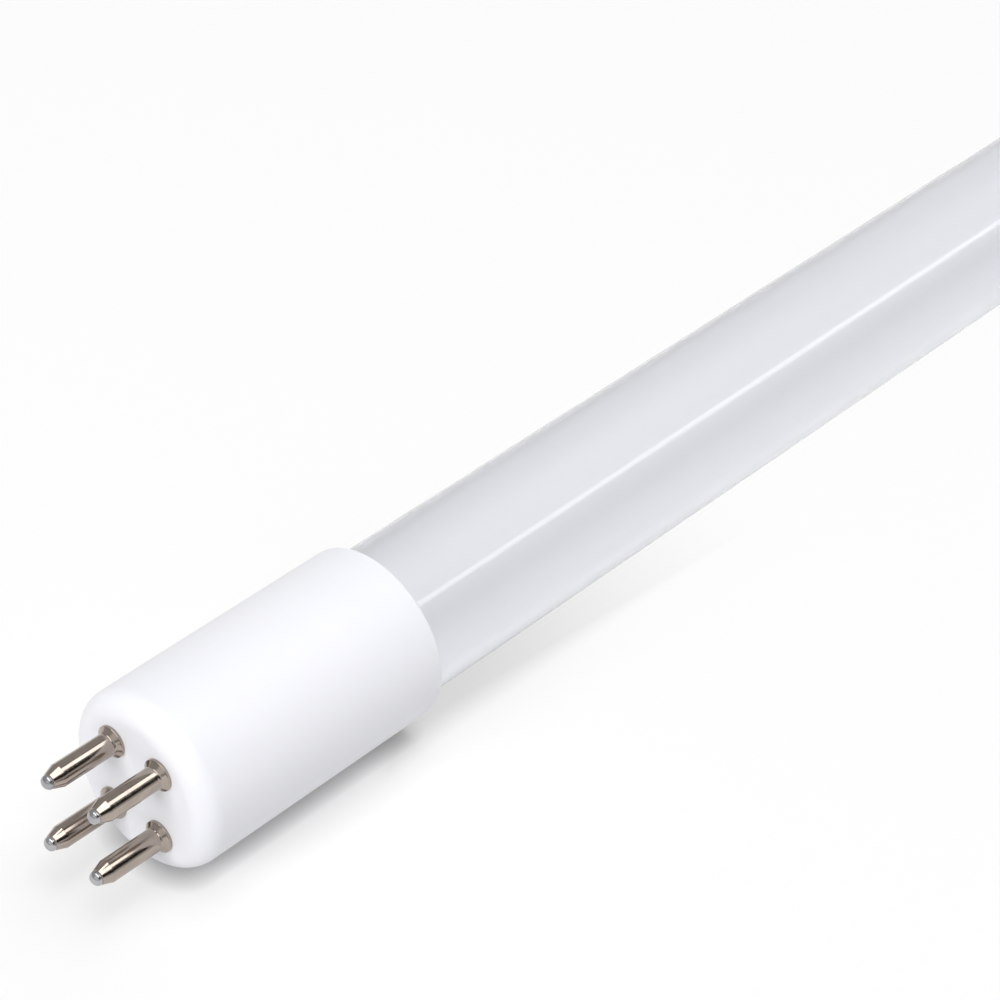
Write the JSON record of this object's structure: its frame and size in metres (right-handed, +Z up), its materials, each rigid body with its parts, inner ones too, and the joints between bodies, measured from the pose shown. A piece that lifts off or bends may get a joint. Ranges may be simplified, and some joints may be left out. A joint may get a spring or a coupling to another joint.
{
  "type": "uv-c amalgam lamp",
  "caption": "Straight quartz discharge tube with a white round base, metal contact pins on one end and a plain white cap on the other, for ultraviolet disinfection.",
  "frame": {"origin": "on the surface the lamp lies on, under the middle of its whole length with the pins", "axes": "the lamp's axis is along X with the contact pins towards -X and the plain cap towards +X; +Z is up, and the pins' 7.92 mm spacing is vertical"},
  "size_m": [0.3656, 0.019, 0.0191],
  "materials": {
    "white_ceramic": "smooth white steatite, semi-gloss",
    "quartz": "clear fused quartz",
    "nickel_plate": "nickel plate on brass",
    "solder": "tin solder",
    "cement": "matte basing cement",
    "tungsten": "drawn tungsten",
    "molybdenum": "rolled foil",
    "nickel_wire": "drawn nickel",
    "amalgam": "dull silver amalgam"
  },
  "bodies": {
    "root": {"base_cap": "white_ceramic", "end_cap": "white_ceramic", "quartz_tube": "quartz", "base_cement": "cement", "end_cement": "cement", "near_coil": "tungsten", "far_coil": "tungsten", "amalgam": "amalgam", "contact_pin_1": "nickel_plate", "solder_tip_1": "solder", "lead_wire_1": "nickel_wire", "contact_pin_2": "nickel_plate", "solder_tip_2": "solder", "lead_wire_2": "nickel_wire", "contact_pin_3": "nickel_plate", "solder_tip_3": "solder", "lead_wire_3": "nickel_wire", "contact_pin_4": "nickel_plate", "solder_tip_4": "solder", "lead_wire_4": "nickel_wire", "near_foil_1": "molybdenum", "near_post_1": "tungsten", "far_foil_1": "molybdenum", "far_post_1": "tungsten", "far_lead_1": "nickel_wire", "near_foil_2": "molybdenum", "near_post_2": "tungsten", "far_foil_2": "molybdenum", "far_post_2": "tungsten", "far_lead_2": "nickel_wire"}
  },
  "joints": []
}
